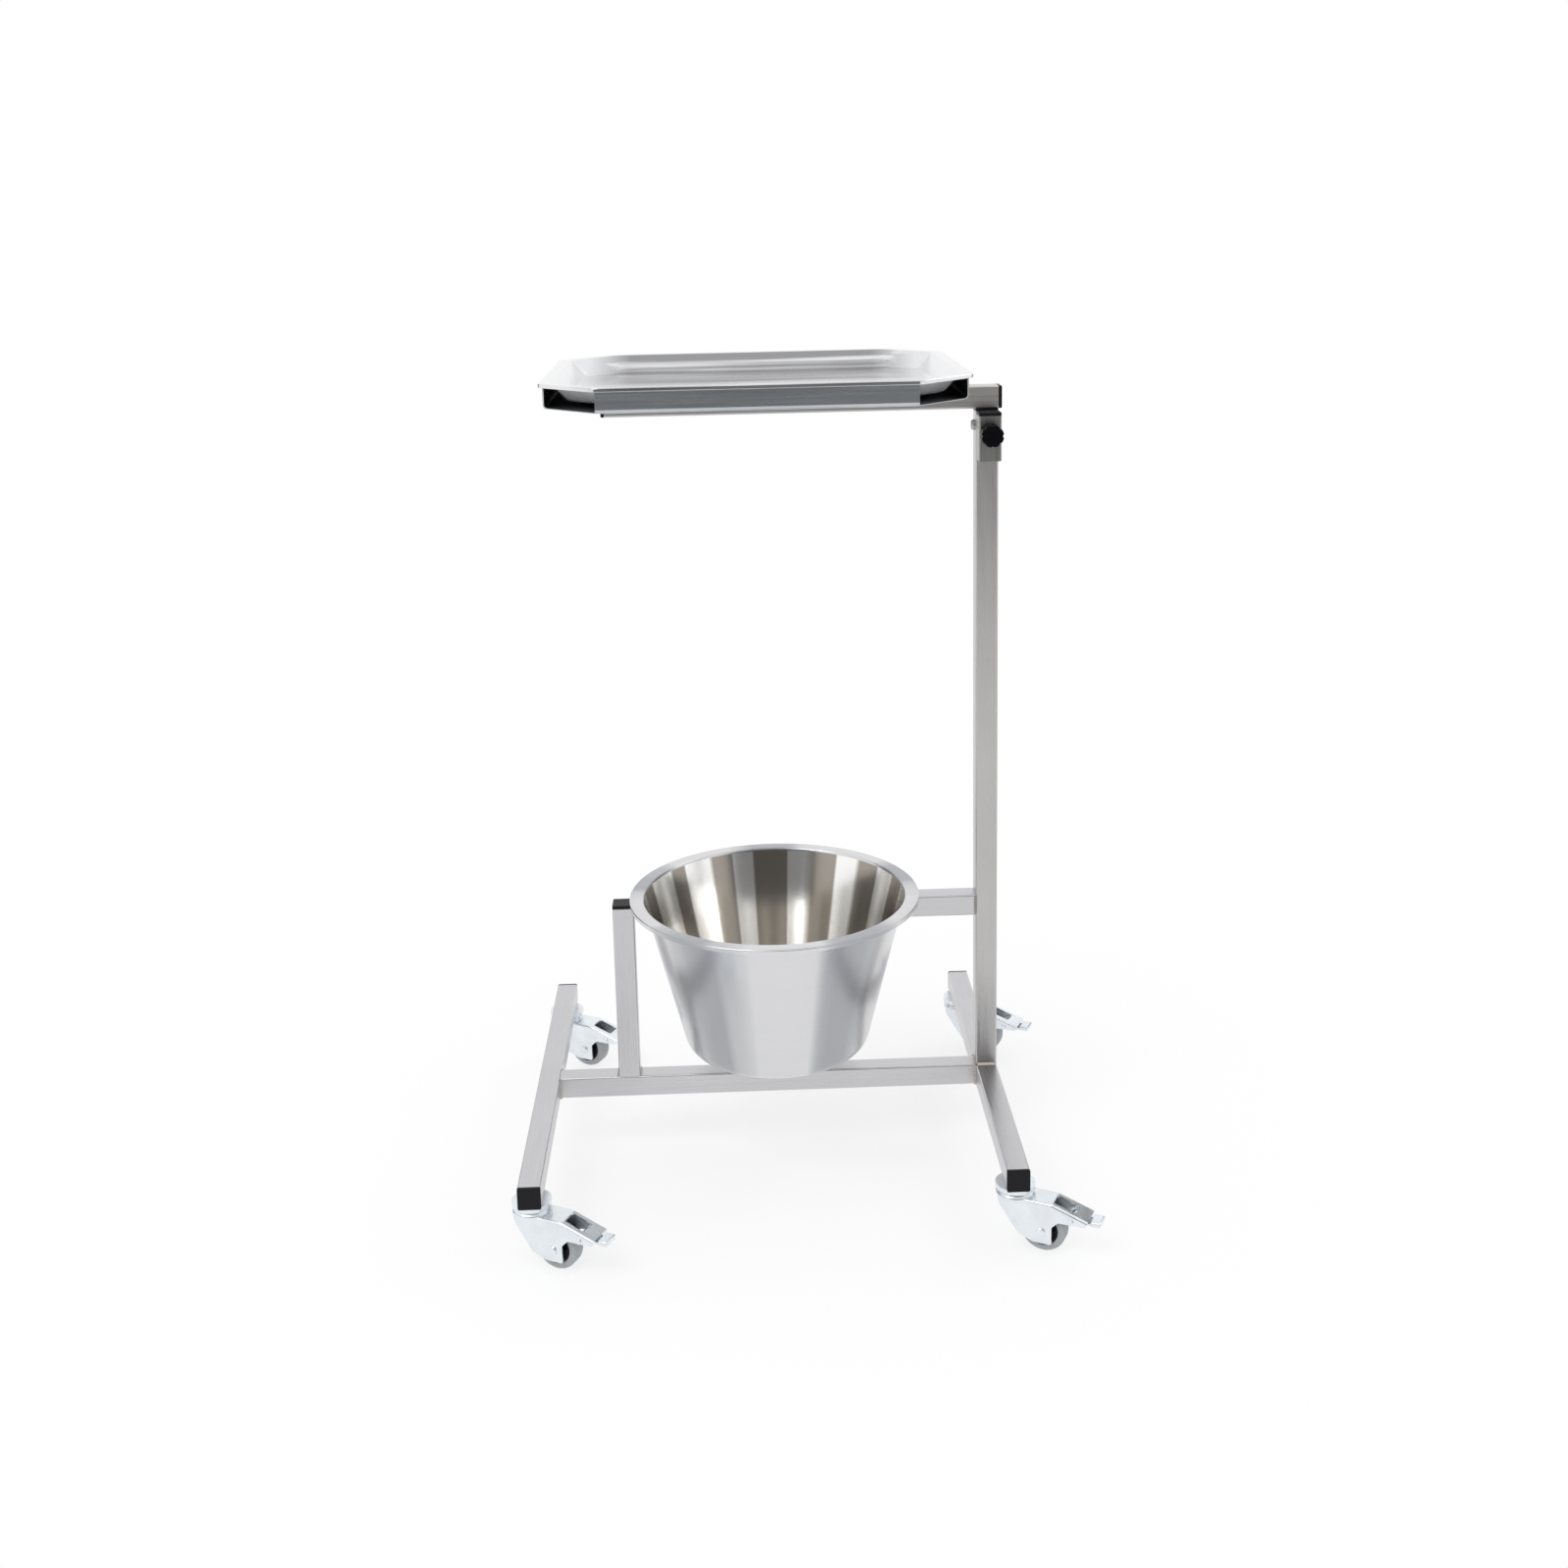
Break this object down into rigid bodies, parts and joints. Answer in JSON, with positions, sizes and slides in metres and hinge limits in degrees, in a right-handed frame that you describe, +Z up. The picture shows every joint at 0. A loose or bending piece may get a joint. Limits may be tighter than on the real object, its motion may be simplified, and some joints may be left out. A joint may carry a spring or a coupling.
{
  "type": "mayo instrument stand",
  "caption": "Square-tube instrument stand on braked casters with a clamped sliding post, a lift-off tray in a folded holder and a bowl hung in the base.",
  "frame": {"origin": "bottom centre of the stand's box, on the floor", "axes": "+Z up, +X along the base bar towards the mast, +Y towards the back"},
  "size_m": [0.6312, 0.5486, 0.9293],
  "materials": {
    "frame_steel": "brushed stainless tube",
    "weld": "heat-tinted weld",
    "holder_sheet": "satin folded stainless sheet",
    "polished_tray": "polished stainless sheet",
    "polished_bowl": "spun stainless sheet",
    "zinc_plate": "bright zinc plated steel",
    "screws": "plain steel",
    "black_plastic": "moulded black",
    "knob_plastic": "moulded black",
    "hub_plastic": "moulded black",
    "grey_tyre": "grey non-marking tread"
  },
  "bodies": {
    "frame": {"right_foot_tube": "frame_steel", "left_foot_tube": "frame_steel", "base_bar": "frame_steel", "front_left_foot_plug": "black_plastic", "rear_left_foot_plug": "black_plastic", "front_right_foot_plug": "black_plastic", "rear_right_foot_plug": "black_plastic", "mast_tube": "frame_steel", "clamp_boss": "frame_steel", "clamp_boss_plug": "black_plastic", "mast_bush": "black_plastic", "stop_screw": "screws", "bowl_post": "frame_steel", "bowl_post_plug": "black_plastic", "bowl_arm": "frame_steel", "bowl_arm_plug": "black_plastic", "weld_beads": "weld", "clamp_nut": "screws", "front_left_caster_mount": "zinc_plate", "rear_left_caster_mount": "zinc_plate", "front_right_caster_mount": "zinc_plate", "rear_right_caster_mount": "zinc_plate", "caster_nuts": "zinc_plate"},
    "clamp_knob": {"clamp_stud": "screws", "clamp_knob": "knob_plastic"},
    "tray_carrier": {"inner_post": "frame_steel", "post_glide": "black_plastic", "tray_arm": "frame_steel", "tray_arm_left_plug": "black_plastic", "tray_arm_right_plug": "black_plastic", "tray_holder": "holder_sheet"},
    "tray": {"tray": "polished_tray"},
    "bowl": {"bowl": "polished_bowl"},
    "front_left_fork": {"front_left_caster_fork": "zinc_plate", "front_left_caster_pins": "zinc_plate"},
    "front_left_wheel": {"front_left_caster_tyre": "grey_tyre", "front_left_caster_hub": "hub_plastic"},
    "front_left_pedal": {"front_left_brake_pedal": "zinc_plate"},
    "rear_left_fork": {"rear_left_caster_fork": "zinc_plate", "rear_left_caster_pins": "zinc_plate"},
    "rear_left_wheel": {"rear_left_caster_tyre": "grey_tyre", "rear_left_caster_hub": "hub_plastic"},
    "rear_left_pedal": {"rear_left_brake_pedal": "zinc_plate"},
    "front_right_fork": {"front_right_caster_fork": "zinc_plate", "front_right_caster_pins": "zinc_plate"},
    "front_right_wheel": {"front_right_caster_tyre": "grey_tyre", "front_right_caster_hub": "hub_plastic"},
    "front_right_pedal": {"front_right_brake_pedal": "zinc_plate"},
    "rear_right_fork": {"rear_right_caster_fork": "zinc_plate", "rear_right_caster_pins": "zinc_plate"},
    "rear_right_wheel": {"rear_right_caster_tyre": "grey_tyre", "rear_right_caster_hub": "hub_plastic"},
    "rear_right_pedal": {"rear_right_brake_pedal": "zinc_plate"}
  },
  "joints": [
    {"name": "mast_height", "type": "slide", "parent": "frame", "child": "tray_carrier", "axis": [0, 0, 1], "range_m": [0, 0.3]},
    {"name": "clamp_knob_turn", "type": "hinge", "parent": "frame", "child": "clamp_knob", "pos_m": [0.22488, -0.02555, 0.8525], "axis": [0, -1, 0], "range_deg": [0, 720]},
    {"name": "tray_lift", "type": "slide", "parent": "tray_carrier", "child": "tray", "axis": [0, 0, 1], "range_m": [0, 0.12]},
    {"name": "bowl_lift", "type": "slide", "parent": "frame", "child": "bowl", "axis": [0, 0, 1], "range_m": [0, 0.25]},
    {"name": "front_left_swivel", "type": "hinge", "parent": "frame", "child": "front_left_fork", "pos_m": [-0.29412, -0.22175, 0.0595], "axis": [0, 0, 1], "continuous": true},
    {"name": "front_left_roll", "type": "hinge", "parent": "front_left_fork", "child": "front_left_wheel", "pos_m": [-0.26472, -0.23673, 0.025], "axis": [0.454, 0.891, 0], "continuous": true},
    {"name": "front_left_brake", "type": "hinge", "parent": "front_left_fork", "child": "front_left_pedal", "pos_m": [-0.23531, -0.25171, 0.0435], "axis": [0.454, 0.891, 0], "range_deg": [0, 10]},
    {"name": "rear_left_swivel", "type": "hinge", "parent": "frame", "child": "rear_left_fork", "pos_m": [-0.29412, 0.25025, 0.0595], "axis": [0, 0, 1], "continuous": true},
    {"name": "rear_left_roll", "type": "hinge", "parent": "rear_left_fork", "child": "rear_left_wheel", "pos_m": [-0.26472, 0.23527, 0.025], "axis": [0.454, 0.891, 0], "continuous": true},
    {"name": "rear_left_brake", "type": "hinge", "parent": "rear_left_fork", "child": "rear_left_pedal", "pos_m": [-0.23531, 0.22029, 0.0435], "axis": [0.454, 0.891, 0], "range_deg": [0, 10]},
    {"name": "front_right_swivel", "type": "hinge", "parent": "frame", "child": "front_right_fork", "pos_m": [0.22488, -0.22175, 0.0595], "axis": [0, 0, 1], "continuous": true},
    {"name": "front_right_roll", "type": "hinge", "parent": "front_right_fork", "child": "front_right_wheel", "pos_m": [0.25428, -0.23673, 0.025], "axis": [0.454, 0.891, 0], "continuous": true},
    {"name": "front_right_brake", "type": "hinge", "parent": "front_right_fork", "child": "front_right_pedal", "pos_m": [0.28369, -0.25171, 0.0435], "axis": [0.454, 0.891, 0], "range_deg": [0, 10]},
    {"name": "rear_right_swivel", "type": "hinge", "parent": "frame", "child": "rear_right_fork", "pos_m": [0.22488, 0.25025, 0.0595], "axis": [0, 0, 1], "continuous": true},
    {"name": "rear_right_roll", "type": "hinge", "parent": "rear_right_fork", "child": "rear_right_wheel", "pos_m": [0.25428, 0.23527, 0.025], "axis": [0.454, 0.891, 0], "continuous": true},
    {"name": "rear_right_brake", "type": "hinge", "parent": "rear_right_fork", "child": "rear_right_pedal", "pos_m": [0.28369, 0.22029, 0.0435], "axis": [0.454, 0.891, 0], "range_deg": [0, 10]}
  ]
}
